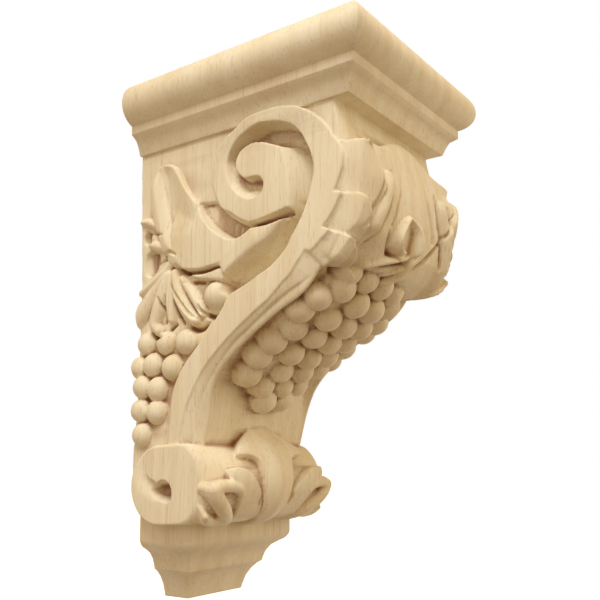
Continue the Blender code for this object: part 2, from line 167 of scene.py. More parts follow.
def inside(u, v, outline):
    """Distance to a closed outline, positive inside it."""
    shape = np.broadcast(u, v).shape
    pu = np.broadcast_to(u, shape)
    pv = np.broadcast_to(v, shape)
    closed = np.vstack([outline, outline[:1]])
    far = np.full(shape, FAR)
    within = np.zeros(shape, bool)
    for a, b in zip(closed, closed[1:]):
        run = b - a
        size = max(run @ run, 1e-9)
        t = np.clip(((pu - a[0]) * run[0] + (pv - a[1]) * run[1]) / size, 0, 1)
        far = np.minimum(far, np.hypot(pu - a[0] - t * run[0], pv - a[1] - t * run[1]))
        crosses = (a[1] > pv) != (b[1] > pv)
        if a[1] != b[1]:
            within ^= crosses & (pu < a[0] + (pv - a[1]) / (b[1] - a[1]) * run[0])
    return np.where(within, far, -far)


class Relief:
    """A carved surface as heights over a flat grid, in millimetres."""

    def __init__(self, u, v):
        self.u = u[:, None]
        self.v = v[None, :]
        self.height = np.zeros((len(u), len(v)))

    def lay(self, level, blend=0.6):
        """Joins a form to the surface with a small round in the corner."""
        gap = np.clip(0.5 + 0.5 * (level - self.height) / max(blend, 1e-3), 0, 1)
        mixed = self.height + (level - self.height) * gap + blend * gap * (1 - gap)
        self.height = np.where(level > -FAR / 2, mixed, self.height)

    def blade(self, path, root=-6.0, fullness=2.0, fall=0.0, blend=0.5):
        """A rounded strip. Each point of the path is (u, v, half width, height). Fall gives it a crest."""
        line = spline(path, 40)
        far, along, _ = nearest(self.u, self.v, line)
        spots = np.linspace(0, 1, len(line))
        width = np.interp(along, spots, line[:, 2])
        top = np.interp(along, spots, line[:, 3])
        share = np.clip(far / width, 0, 1)
        level = root + (top - root) * (1 - share ** fullness) ** 0.5 - fall * share
        self.lay(np.where(share < 1, level, -FAR), blend)

    def ball(self, u, v, radius, top):
        """A grape that stands to a height."""
        far = np.hypot(self.u - u, self.v - v)
        level = top - radius + np.sqrt(np.clip(radius ** 2 - far ** 2, 0, None))
        self.lay(np.where(far < radius, level, -FAR), 0.3)

    def pillow(self, outline, top, root=-6.0, power=0.5, wall=0.0, blend=0.5):
        """A form with rounded edges. A point of the outline is (u, v, width of the round).

        The top may be a grid.
        """
        line = spline(list(outline) + [outline[0]], 6 * len(outline))
        depth = inside(self.u, self.v, line[:-1, :2])
        _, along, _ = nearest(self.u, self.v, line)
        width = np.interp(along, np.linspace(0, 1, len(line)), line[:, 2])
        share = 1 - np.clip(depth / width, 0, 1)
        level = root + (top - root) * (wall * smooth(depth / 2.6) + (1 - wall) * (1 - share ** 2) ** power)
        self.lay(np.where(depth > 0, level, -FAR), blend)

    def step(self, outline, height, edge):
        """Lifts the surface inside an outline, or sinks it where the height is below 0."""
        line = spline(list(outline) + [outline[0]], 6 * len(outline))[:-1]
        self.height = self.height + height * smooth(inside(self.u, self.v, line) / edge)

    def vein(self, path):
        """A cut. Each point of the path is (u, v, half width, depth)."""
        line = spline(path, 40)
        far, along, _ = nearest(self.u, self.v, line)
        spots = np.linspace(0, 1, len(line))
        width = np.interp(along, spots, line[:, 2])
        depth = np.interp(along, spots, line[:, 3])
        self.height = self.height - depth * np.clip(1 - (far / width) ** 2, 0, 1)


def side_relief(u, v):
    """The carving on a side, over (depth, height), from the neck's side plane."""
    relief = Relief(u, v)
    u, v = relief.u, relief.v
    levels = [(95, -0.6), (108, -1.4), (125, -3.0), (202, -3.8), (252, -1.6), (290, 0.0)]
    relief.height = relief.height + np.interp(v, *zip(*levels))

    # Vine leaf: small leaves at the wall and the fingers that hang down
    for path in (
        [(24, 246, 3.6, 0.8), (16, 250, 4.4, 1.6), (9, 253.5, 4.4, 2.0), (2, 255, 3.0, 1.4)],
        [(30, 231, 4.4, 0.8), (21, 234, 5.4, 1.8), (14.5, 236, 5.0, 2.0), (11, 236.5, 3.0, 1.2)],
        [(31, 222, 4, 0.8), (22, 214, 5.0, 1.6), (12, 208.5, 4.6, 1.4), (3, 204, 4, 1.0)],
        [(26, 213, 6, 1.4), (12, 199, 8.0, 1.8), (-4, 184, 8, 2.2)],
        [(29, 213, 5, 1.6), (21.5, 197, 6.4, 2.6), (16.5, 182, 5.6, 2.8), (20, 176, 4.6, 2.2)],
        [(31, 211, 4, 1.4), (30.5, 196, 4.4, 2.2), (32.5, 182, 3.8, 2.0)],
        [(34, 214, 4, 1.8), (38, 200, 5.8, 2.8), (46.5, 186.5, 6.0, 3.4), (53, 180, 4.8, 3.0)],
        [(41, 209, 4.0, 0.8), (49.5, 199, 4.8, 1.8), (57, 189, 4.4, 2.2), (60, 184, 3.4, 1.8)],
    ):
        relief.blade(path, fullness=3.0, fall=1.6)
    # Upper leaf: a convex flank, a vein and a face that rises to a bright crest
    crest = spline([(27, 291.6), (33, 288.6), (37.5, 282.4), (43.5, 272.5), (50, 264), (54.5, 258)], 30)
    vein = spline([(21.0, 288), (23.2, 279), (25.4, 269.6), (28.8, 254.6), (33.6, 242.8), (41.8, 231.7),
                   (50.4, 223)], 40)
    to_crest = nearest(u, v, crest)[0]
    to_vein, _, side = nearest(u, v, vein)
    face = -2.2 + 5.4 * (to_vein / (to_vein + to_crest + 1e-6)) ** 0.9
    flank = -2.2 + 5.0 * np.sqrt(np.clip(to_vein / 8.0, 0, 1)) - 0.10 * np.clip(to_vein - 8, 0, None) ** 1.5
    right_side = side[np.argmin(np.abs(u[:, 0] - 40)), np.argmin(np.abs(v[0] - 262))]
    leaf = [
        (15.5, 289, 1.4), (18.5, 292.4, 1.2), (23, 293, 1.2), (31.5, 291, 1.2), (37.5, 287, 1.2),
        (40.5, 281.4, 1.2),
        (46.3, 271.4, 1.2), (52, 263.7, 1.2), (56, 257.6, 1.2), (56, 248, 1.2), (54, 238, 3), (48, 224, 3),
        (41, 216, 2.5), (31, 219, 3), (24, 228, 3), (18, 240, 3), (13.2, 254, 1.8), (11.2, 264, 1.4),
        (11.2, 273, 1.4), (12.8, 281, 1.4),
    ]
    relief.pillow(leaf, np.where(side == right_side, face, flank), root=-5.0)
    # Arm: flat on top, crisp along the pocket and round towards the channel
    arm = [
        (31.5, 242, 1.0), (32.5, 249, 1.0), (36, 256.5, 1.2), (41, 260.4, 1.2), (47, 261.4, 1.2),
        (53, 260.2, 1.2),
        (56.6, 257.4, 1.2), (60.4, 249.6, 1.2), (66, 242.2, 1.3), (73, 235.8, 1.4), (83.6, 229.8, 1.4),
        (91.3, 229.4, 1.4), (98.0, 231.8, 1.4), (104, 235.6, 1.4), (114, 236.8, 1.4), (128.5, 239.4, 1.6),
        (122, 229.5, 6), (114, 221, 8), (103, 214, 9), (91, 207, 9), (82, 202.5, 7), (77, 206, 4),
        (75.5, 211.5, 2.4), (69, 212.2, 2.4), (61, 211.4, 2.4), (52.5, 212, 2.4), (45, 213.4, 2.2),
        (39, 217.4, 2.0), (35, 226, 1.6), (33, 234, 1.2),
    ]
    slope = 2.6 - 2.4 * smooth((v - 236) / 22) * smooth((64 - u) / 14) - 2.5 * smooth((u - 96) / 34)
    relief.pillow(arm, slope, root=-8.0)
    relief.blade([(45, 211.5, 3.5, -2.4), (58, 209.5, 4, -2.0), (76, 211, 4, -2.0)], root=-7)
    relief.pillow(
        [(60, 210.4, 1.4), (68, 211, 1.5), (77, 212, 2), (80, 208, 3), (79.5, 202, 3), (70.6, 203.3, 2.5),
         (60, 205.5, 2), (51, 208.6, 1.6), (51.5, 210.8, 1.4)], 1.2)
    relief.ball(70, 194.5, 10.2, 3.6)
    for u0, v0, radius, top in (
        (45.2, 166.4, 9.0, 4.2), (27, 167, 8.6, 3.6), (9, 168, 8.6, 3.6), (34.0, 150.2, 9.2, 5.0),
        (16.3, 152.8, 8.8, 5.2), (3, 152, 8, 4.6), (21.6, 136.5, 9.0, 5.6), (8.0, 138.6, 8.4, 6.0),
        (21.2, 121.5, 8.8, 5.4), (7.0, 122.9, 8.2, 6.2), (8.9, 106.9, 8.4, 6.0),
    ):
        relief.ball(u0, v0, radius, top)

    # Cuts that part the leaf
    for path in (
        [(37.5, 218.5, 1.4, 1.5), (43.5, 213.4, 2.2, 2.8), (52.5, 211.6, 2.2, 1.8), (61, 210.9, 2.2, 1.6),
         (69, 211.8, 2.0, 1.4), (77, 214, 1.4, 0.6)],
        [(31.5, 216, 1.0, 0.8), (33.5, 205, 1.4, 3.0), (41, 194.5, 1.5, 3.4), (50, 184.5, 1.3, 3.0),
         (57, 179.5, 1.0, 1.2)],
        [(22, 198, 0.9, 2.0), (23.2, 194, 1.3, 5.0), (24.8, 189.5, 1.0, 3.5)],
        [(43.6, 213.2, 1.6, 3.0), (45.2, 212.4, 1.6, 3.5)],
        [(57.0, 258.4, 1.2, 1.8), (61, 257.6, 1.4, 2.0), (66, 256.4, 1.2, 1.0)],
        [(24, 226.5, 1.4, 1.5), (31, 228.8, 1.4, 2.6), (37, 226, 1.2, 1.8)],
        [(44, 205.5, 1.0, 1.0), (52, 205.4, 1.4, 2.6), (59, 204.2, 1.3, 2.6)],
        [(26.5, 200, 0.9, 0.5), (26.4, 190, 1.2, 2.5), (25, 181, 1.3, 2.5)],
        [(34.5, 194, 1.0, 1.0), (38.0, 184, 1.5, 3.0), (41.5, 179, 1.4, 3.0)],
        [(10, 245.5, 1.0, 1.0), (17, 243.8, 1.2, 2.6), (24, 242, 1.0, 1.6)],
        [(15, 222, 1.0, 1.0), (22, 224.6, 1.2, 2.6), (30, 226, 1.0, 1.6)],
        [(12, 180, 1.4, 2.0), (15, 173.4, 1.8, 4.0), (20, 170.4, 1.6, 3.5), (26, 171, 1.4, 2.0)],
        [(30, 176, 1.4, 3.0), (35, 179, 1.3, 3.0)],
    ):
        relief.vein(path)
    relief.step([(4.7, 249.0), (9.5, 247.4), (10.4, 243.0), (8.8, 237.6), (4.1, 238.6),
                 (2.0, 243)], -6.0, 2.0)
    relief.step([(5.0, 232.5), (11, 233.4), (17.2, 231.2), (18.6, 225), (15.5, 218), (9, 214.6), (3.5, 217),
                 (2.5, 226)], -7.0 * smooth((u + 1) / 14), 2.2)
    relief.step([(57, 192), (62, 185.6), (69, 183.4), (76, 185), (81, 190), (83, 184), (78, 179.6),
                 (70, 177.6),
                 (62, 180), (57, 186)], -6.5, 2.6)
    relief.step([(47, 178.4), (54, 176.2), (61, 178.4), (67, 181), (62, 173), (55, 170.4),
                 (48, 173)], -4.6, 3.0)

    # Band and volute, proud of the neck and of the cap's cove at the top
    band = [
        (129, 239), (121.8, 237.5), (113.4, 236), (103.4, 236.0), (92.4, 240.4), (84, 246.6),
        (76.1, 251.2), (68.4, 266.7),
        (68.0, 281.8), (73, 292.5), (80.5, 298.8), (88.1, 301.8), (99, 307.3), (113, 308.8),
        (128.8, 307.7), (142.6, 303.2), (155.5, 292.8), (164.9, 279), (170.5, 269.3), (172.5, 253.8),
        (172, 238),
        (165, 220), (150, 202), (122, 187), (99, 172), (81.9, 160), (64, 140), (56, 124), (52, 108), (52, 96),
        (34.6, 96), (34.3, 116), (35.0, 129), (38.5, 140), (46.5, 152), (62, 167.5), (77, 184), (81.4, 191.5),
        (87.6, 194.8), (97.6, 198.4), (107.3, 202.9), (116.8, 207.3), (125, 213.6), (131, 222),
    ]
    proud = 1.0 + 3.6 * smooth((v - 282) / 26)
    relief.pillow([(a, b, 1.1) for a, b in band], proud, root=-2.6, blend=0.2)

    # Crescent pocket between the volute and the leaf
    pocket = [
        (67.6, 258.6), (70.6, 257.0), (76.1, 251.0), (81.5, 246), (88.2, 241.4), (95, 238.4),
        (101.8, 236.2), (98.5, 232.2), (91.3, 229.2), (83.6, 229.5), (73.1, 235.6), (66.3, 242.0),
        (60.7, 249.3),
        (56.8, 257.2), (62, 258.0),
    ]
    relief.step(pocket, -(3.0 + 9.0 * smooth((u - 60) / 34 + (250 - v) / 70)), 1.8)

    # Volute's underside, over the arm
    relief.vein([(98, 235.0, 2.2, 3.5), (105, 235.4, 2.6, 5.5), (114, 236.2, 3.0, 7.0), (122, 237.8, 2.8, 8),
                 (129, 239.6, 2.4, 8)])

    # Deep channel round the disc. Each point of a wall is (depth, height, width of its slope, channel depth)
    outer = spline([
        (99.5, 252.4, 6.5, 7), (90, 257.8, 7, 6), (83, 267, 7, 6), (80.4, 277.8, 6, 8), (81.7, 285.4, 4, 11),
        (88.5, 293.4, 2.6, 14), (98.6, 298.4, 2.4, 16), (108.3, 300.8, 2.4, 16), (119, 299.6, 2.2, 16),
        (129.0, 296.8, 2, 16), (137.6, 291, 1.6, 16), (145.6, 277.2, 1.4, 16), (149.1, 265.2, 1.4, 16),
        (148.4, 256, 1.4, 16), (145.2, 244.8, 1.4, 16), (141.1, 235.6, 1.4, 16), (135.2, 226.4, 1.4, 16),
        (126.2, 215.2, 1.4, 16), (116.8, 207.8, 1.4, 16), (107.3, 203.0, 1.6, 15), (97.6, 198.4, 1.8, 13),
        (87.6, 194.4, 2.2, 10), (80.4, 191.2, 3, 6),
    ], 180)
    inner = spline([
        (99.5, 252.4, 1, 6), (103.5, 253.2, 1.4, 9), (109.4, 255.5, 1.5, 12), (111.0, 260.9, 1.5, 13),
        (108.6, 265.8, 1.5, 12), (103, 267.6, 1.5, 11), (96.1, 267.9, 1.5, 9), (91, 272, 1.6, 8.5),
        (88.4, 277.5, 1.6, 9), (89.0, 281.8, 1.6, 11), (91.2, 285.4, 1.6, 13), (94.8, 287.8, 1.6, 14),
        (99.5, 289.2, 1.6, 15), (104.5, 289.4, 1.6, 16), (110, 288.6, 1.6, 16), (116, 286.2, 1.8, 16),
        (121.5, 283.2, 4, 16), (126, 279.0, 9, 16), (128, 268, 16, 15.5), (129, 256, 16, 15),
        (129, 247, 13, 15), (128.4, 240, 8, 15), (119, 230.4, 11, 15), (111.4, 225.0, 14, 15),
        (101.7, 220.6, 16, 15),
        (91.8, 215.2, 15, 14), (82, 209.6, 12, 11), (76.5, 203, 8, 8), (75.5, 196, 4, 6), (80.4, 191.2, 3, 6),
    ], 200)
    channel = np.vstack([outer, inner[::-1]])
    within = inside(u, v, channel[:, :2])
    far_out, along_out, _ = nearest(u, v, outer)
    far_in, along_in, _ = nearest(u, v, inner)
    width_out = np.interp(along_out, np.linspace(0, 1, len(outer)), outer[:, 2])
    width_in = np.interp(along_in, np.linspace(0, 1, len(inner)), inner[:, 2])
    share = far_in / (far_in + far_out + 1e-6)
    deep = (1 - share) * np.interp(along_in, np.linspace(0, 1, len(inner)), inner[:, 3])
    deep += share * np.interp(along_out, np.linspace(0, 1, len(outer)), outer[:, 3])
    wall = np.sin(0.5 * np.pi * np.clip(far_out / width_out, 0, 1)) * smooth(far_in / width_in) ** 0.8
    relief.height = relief.height - np.where(within > 0, deep * wall, 0)
    return relief.height


GRAPES = [
    (103, -33), (104, -17), (105, 0.5), (107, 18), (115, -31), (121, -12.5), (122, 7), (117, 26),
    (127, -42), (138, -22),
    (140, -2.5), (139, 17), (134, 34), (142, -43), (156, -34), (156, -15), (158, 4.5), (156, 23), (149, 42),
    (172, -37), (175.5, -17.5), (176, 2), (173, 21), (166, 38), (187, -36), (193, -10), (191, 11.5),
    (188, 30),
    (181, 40), (203, -31), (208, -15), (206.5, 4), (205, 22.5), (219, -6), (217, 12),
]


def front_relief(u, v):
    """The carving on the front, over (length along the ridge from the cap, x), from the ridge surface."""
    relief = Relief(u, v)
    u, v = relief.u, relief.v
    edge = np.abs(v)
    deep = smooth((u - 84) / 22) * (1 - 0.65 * smooth((u - 208) / 30))
    relief.height = relief.height + deep * np.interp(
        edge, [0, 30, 47, 50.5, 52.5, 54.6, 56.4], [-8.4, -9.2, -10.2, -10.2, -8.4, -6.0, -5.4])
    fall = np.interp(u, [34, 44, 54, 63, 72, 83, 96, 113, 136, 150, 200, 215, 232],
                     [0.6, 2.5, 6, 8, 10, 13.5, 16.5, 18, 17, 13, 12.5, 14, 16.5])
    relief.height = relief.height - (fall - 5.4 * deep) * np.clip(
        (edge - 51 - 5.4 * deep) / (10.7 - 5.4 * deep), 0, 1) ** 1.15

    # Bed of the leaf, steep at its sides, and bed of the bunch
    rise = np.interp(
        u, [10, 14, 18, 26, 36, 50, 66, 84, 96, 106, 116], [8, 9.5, 11, 13, 15, 17, 17.5, 16, 12, 7, 2])
    rise = rise - 9.0 * smooth((u - 76) / 12) * smooth((-v - 28) / 16) * smooth((118 - u) / 16)
    rise = rise + 5.5 * smooth((v - 38) / 12) * smooth((u - 36) / 10) * smooth((112 - u) / 14)
    bed = [
        (13.2, 0, 1.2), (14.6, 9, 1.2), (18.5, 20, 1.3), (23, 29, 1.5), (25.5, 40, 1.8), (26.5, 52, 3),
        (27.5, 60, 8), (40, 61.2, 17), (52, 60.4, 18), (80, 60, 18), (92, 59.5, 16), (103, 54, 12),
        (112, 42, 10),
        (112, 28, 9), (106, 14, 8), (102, 2, 7), (101, -10, 6), (101, -22, 6), (101, -32, 7), (105, -42, 8),
        (105.5, -50, 9), (99, -59.5, 13), (80, -60, 18), (52, -60.4, 18), (40, -61.2, 17), (27.5, -60, 8),
        (26.5, -52, 3), (25.5, -40, 1.8), (23, -29, 1.5), (18.5, -20, 1.3), (14.6, -9, 1.2),
    ]
    low = np.interp(u, [14, 40, 50, 60, 70, 76, 82, 94, 100, 106, 118],
                    [-0.5, -1, -3.5, -6.5, -8, -9, -11, -13, -12, -10, -9])
    relief.pillow(bed, rise, root=low, power=0.9, wall=0.42, blend=0.8)
    bunch = [(96, 0), (102, 28), (116, 44), (140, 48), (165, 44), (190, 38), (208, 26), (220, 8), (219, -8),
             (207, -32), (190, -41), (165, -45), (140, -48), (116, -44), (102, -34)]
    relief.pillow([(a, b, 7) for a, b in bunch], 2.0 - 6.0 * (edge / 48) ** 2, root=-10.5, blend=1.0)
    for s, x in GRAPES:
        crown = 11.5 - 7.5 * (x / 43) ** 2 - 3.5 * smooth((s - 170) / 50)
        relief.ball(s, x, 9.7, crown)

    # Lobes of the leaf, each lifted where its top edge starts, and further down on the far side
    for side in (-1, 1):
        later = LOBE_SHIFT if side > 0 else 0
        for lobe, shift, lift, round_edge in (
            ([(26.5, 66), (27.5, 58), (31, 54), (35.5, 51), (41, 48.5), (46, 44.5), (53, 41.5), (60, 44),
              (67, 48), (76, 51.5), (84, 56), (84, 66)], later, 3.8 * (1 - smooth((u - 46) / 36)), 1.3),
            ([(59, 68), (59, 61), (60, 58), (62, 55.5), (66, 53.5), (72, 51.5), (80, 49.5), (88, 48),
              (95, 46), (101, 43), (101, 52), (92, 58), (84, 68)], later,
             5.5 * (1 - smooth((u - 68) / 30)), 1.2),
            ([(80.5, 68), (81.5, 62), (83.5, 57.5), (86, 52.5), (90, 48.5), (96, 44.5), (102, 40),
              (106, 36), (118, 38), (112, 48), (107, 56), (101, 63), (96, 68)], later / 3,
             6.5 * (1 - smooth((u - 90) / 28)), 1.2),
        ):
            relief.step([(s + shift, side * x) for s, x in lobe], lift, round_edge)
        finger = [(46, 36.5, 3.2, 3.6), (52, 36.5, 4.4, 4.2), (60, 39, 4.6, 3.6), (71, 43, 4.2, 2.8),
                  (84, 46.5, 3.4, 1.0)]
        line = spline([(s, side * x, w, h) for s, x, w, h in finger], 40)
        far, along, _ = nearest(u, v, line)
        spots = np.linspace(0, 1, len(line))
        share = np.clip(far / np.interp(along, spots, line[:, 2]), 0, 1)
        relief.height = relief.height + np.interp(along, spots, line[:, 3]) * (1 - share ** 2) ** 0.7
        for path in (
            [(42, 29.5, 2.0, 1.5), (50, 30.5, 3.0, 4.0), (60, 33.5, 2.8, 4.4), (72, 38.5, 2.2, 3.6),
             (84, 42, 1.6, 2.0)],
            [(47, 43.5, 1.2, 1.5), (58, 46, 1.6, 2.4), (68, 50, 1.6, 2.4), (78, 53, 1.4, 1.6)],
            [(36, 17, 1.4, 0.6), (48, 17, 2.0, 1.6), (60, 22, 2.2, 2.0), (72, 27, 1.8, 1.6)],
            [(88, 52, 1.6, 1.0), (96, 50, 2.6, 2.4), (104, 45, 2.6, 2.8), (111, 38, 2.0, 2.0)],
        ):
            relief.vein([(s, side * x, width, depth) for s, x, width, depth in path])
    relief.blade([(64, -9, 2.8, 20.5), (69, -17, 3.2, 23.5), (78, -23, 3.4, 24), (84, -19, 3.2, 23),
                  (84, -12, 2.8, 21.5)], root=6, fall=1.0)
    relief.blade([(64, -8, 3.0, 20.5), (70, 0, 4.8, 23.5), (79, 2, 6.0, 24.5), (90, -2, 4.6, 21),
                  (101, -8, 3.2, 15)], root=6, fall=1.0)
    relief.blade([(86, -3, 3.2, 21), (88, -14, 3.4, 20.5), (91, -25, 3.4, 18), (96, -35, 3.0, 12.5)],
                 root=2, fall=1.0)
    relief.blade([(88, 3, 2.6, 19.5), (92, -7, 2.8, 18), (97, -15, 2.8, 14)], root=2, fall=1.0)
    relief.vein([(67, -9, 1.2, 1.5), (71, -11.5, 2.0, 6.0), (78, -14.5, 2.2, 7.0), (82, -15.5, 1.5, 3.0)])
    relief.vein([(84, 2, 1.2, 1.5), (88.5, -8, 1.6, 4.5), (92.5, -18, 1.6, 4.5), (97, -29, 1.4, 3.0)])
    relief.vein([(76, -29, 1.6, 1.0), (85, -26, 2.6, 5.0), (87.5, -16, 1.6, 3.0)])
    relief.vein([(50, 49, 1.2, 2.0), (71, 34.5, 1.7, 4.0), (83, 21, 1.7, 4.0), (93, 6, 1.3, 2.5)])
    relief.vein([(56, 31.5, 0.9, 2.5), (61, 31.0, 1.1, 3.5)])
    return relief.height


def roll_relief(u, v):
    """The leaf on the lower roll, over (length along its way, x), from the way's surface."""
    relief = Relief(u, v)
    u, v = relief.u, relief.v
    edge = np.abs(v)
    relief.height = relief.height - 14.0
    fan = [
        (11, 0, 1.0), (12.5, 8, 1.0), (19.5, 19, 1.0), (28, 30, 1.0), (34, 35.5, 1.2), (37, 34, 1.2),
        (37.5, 26, 1.2),
        (41, 19, 1.2), (49, 16.5, 1.2), (58, 15, 1.2), (68, 12.5, 1.2), (80, 9, 1.2), (94, 5, 1.2),
    ]
    fan += [(a, -b, w) for a, b, w in fan[-1:0:-1]]
    for side in (-1, 1):
        leaflet = [
            (45.5, 50), (44.6, 43), (46.5, 34), (53, 25), (60, 18), (70, 12), (82, 8), (92, 14),
            (90, 28), (80, 34),
            (68, 37), (60, 41), (53, 49),
        ]
        top = 4.4 - 3.0 * smooth((u - 47) / 24)
        relief.pillow([(a, side * b, 1.2) for a, b in leaflet], top, root=-3)
        relief.blade([(58.5, side * 61.5, 4.6, 2.6), (56.2, side * 56, 4.6, 3.6), (55.8, side * 48, 4.4, 4.4),
                      (57.5, side * 41, 4.0, 4.4),
                      (61.5, side * 37, 2.6, 3.4)], root=-3, fullness=2.4, blend=1.0)
        relief.blade([(58, side * 61, 5.0, 2.6), (62, side * 59, 5.4, 3.4), (68, side * 53, 5.6, 4.2),
                      (74.5, side * 45, 5.6, 4.6), (82, side * 38, 5.4, 4.2), (90, side * 33, 5, 3.4)],
                     root=-3, fullness=2.4, blend=1.0)
        relief.blade([(81, side * 43, 4.6, 4.0), (82.5, side * 51, 4.8, 4.0), (80.5, side * 57.5, 4.2, 3.6),
                      (76.5, side * 61.5, 2.4, 2.4)], root=-3, fullness=2.4, blend=1.0)
        relief.vein([(63, side * 18, 0.9, 2.0), (67, side * 16.5, 1.2, 4.5), (69, side * 16, 1.0, 3.0)])
    crest = np.interp(u, [10, 14, 20, 30, 40, 56, 70, 94], [2.5, 3.6, 4.4, 5.0, 5.4, 5.4, 5.0, 4.5])
    crest = crest - 0.09 * edge - 1.0 * smooth(edge / 14) * smooth((u - 30) / 14)
    relief.pillow(fan, crest, root=-3, blend=0.4)
    return relief.height


def volute_relief(u, v):
    """The small spiral and eye on each end of the roll, over (depth, height)."""
    relief = Relief(u, v)
    u, v = relief.u, relief.v
    spiral = spline([(23, 99), (17.2, 93.5), (14.6, 86.5), (17.6, 80.0), (25.0, 76.4)], 40)
    far, along, side = nearest(u, v, spiral)
    outside = side == side[np.argmin(np.abs(u[:, 0] - 8)), np.argmin(np.abs(v[0] - 84))]
    fade = smooth(1 - far / 13) * np.interp(along, [0, 0.3, 1], [0.2, 1.6, 4.5])
    relief.height = relief.height - np.where(outside, fade, 0) * smooth((100 - v) / 6)
    eye = [(26, 76.6), (31, 78.2), (36, 76.4), (39.2, 71.5), (38.6, 66), (35, 63.6), (28, 65.2), (21, 67.8),
           (18, 71.4), (21, 74.6)]
    relief.step(eye, -(1.0 + 12.0 * smooth((u - 16) / 15)), 2.4)
    return relief.height


def along_way(way, count, depth, height):
    """Length along a way and distance out from it, for each depth and height."""
    line = spline(way, count)
    length = np.linalg.norm(np.diff(line, axis=0), axis=1).sum()
    far, along, side = nearest(depth, height, line)
    return along * length, far * side, length


def lookup(table, starts, step, u, v):
    """Reads a table of heights between its points."""
    i = np.clip((u - starts[0]) / step, 0, table.shape[0] - 1.001)
    j = np.clip((v - starts[1]) / step, 0, table.shape[1] - 1.001)
    i0, j0 = i.astype(int), j.astype(int)
    fi, fj = i - i0, j - j0
    return (
        table[i0, j0] * (1 - fi) * (1 - fj) + table[i0 + 1, j0] * fi * (1 - fj)
        + table[i0, j0 + 1] * (1 - fi) * fj + table[i0 + 1, j0 + 1] * fi * fj
    )


def steepness(table, step):
    """How much longer the way to a sloping surface looks when it is measured straight down."""
    du, dv = np.gradient(table, step)
    return np.sqrt(1 + du ** 2 + dv ** 2)


def both(a, b, radius):
    """What two bodies share, with a round of that radius along the edge. Bodies are negative inside."""
    corner = np.hypot(np.maximum(a + radius, 0), np.maximum(b + radius, 0))
    return np.minimum(-radius, np.maximum(a, b)) + corner


def either(a, b, radius):
    """Two bodies together, with a hollow of that radius in the corner."""
    corner = np.hypot(np.maximum(radius - a, 0), np.maximum(radius - b, 0))
    return np.maximum(radius, np.minimum(a, b)) - corner


def carved_body(step):
    """The carved body on a grid: negative inside the wood. Returns the grid and its lowest corner."""
    widths = np.arange(-BODY_HALF, BODY_HALF + step, step)
    depths = np.arange(-3 * step, BODY_DEPTH, step)
    heights = np.arange(BODY_LOW, BODY_HIGH, step)
    depth, height = depths[:, None], heights[None, :]
    side = side_relief(depths, heights)
    side_slope = np.minimum(steepness(side, step), STEEPEST)
    along, out, length = along_way(RIDGE, 260, depth, height)
    along = along - NECK_LENGTH
    ridge_steps = np.arange(-NECK_LENGTH, length - NECK_LENGTH + step, step)
    front = front_relief(ridge_steps, widths)
    front_slope = np.minimum(steepness(front, step), STEEPEST)
    leaf_along, leaf_out, leaf_length = along_way(ROLL_WAY, 120, depth, height)
    leaf_steps = np.arange(0, leaf_length + step, step)
    leaf = roll_relief(leaf_steps, widths)
    leaf_slope = np.minimum(steepness(leaf, step), STEEPEST)
    roll = nearest(depth, height, np.array(ROLL_ENDS))[0] - ROLL_RADIUS
    end_round = 1.5 + 13 * smooth((depth - 44) / 26)
    leaf_end = 6 * smooth(1 - (leaf_length - leaf_along) / 6)
    back = 2.0 * smooth((height - CAP_LOW - 0.9) / 1.5) - depth
    volute = volute_relief(depths, heights)
    body = np.empty((len(widths), len(depths), len(heights)), np.float32)
    for i, width in enumerate(widths):
        across = np.full_like(along, width)
        flank = (abs(width) - HALF - side) / side_slope
        rise = lookup(front, (ridge_steps[0], widths[0]), step, along, across)
        face = (out - rise) / lookup(front_slope, (ridge_steps[0], widths[0]), step, along, across)
        trunk = both(flank, face, 1.0)
        trunk = np.maximum(trunk, np.maximum(TRUNK_LOW - height, height - TRUNK_HIGH))
        drum = both(roll, abs(width) - ROLL_HALF - volute, end_round)
        rise = lookup(leaf, (0, widths[0]), step, leaf_along, across) - leaf_end
        curl = (leaf_out - rise) / lookup(leaf_slope, (0, widths[0]), step, leaf_along, across)
        curl = np.maximum(curl, np.maximum(-LEAF_THICKNESS - leaf_out, abs(width) - LEAF_HALF))
        curl = np.maximum(curl, np.maximum(0.5 - leaf_along, leaf_along - leaf_length + 0.5))
        wood = either(either(trunk, drum, 1.2), curl, 0.8)
        body[i] = np.maximum(wood, back)
    return body, (widths[0], depths[0], heights[0])


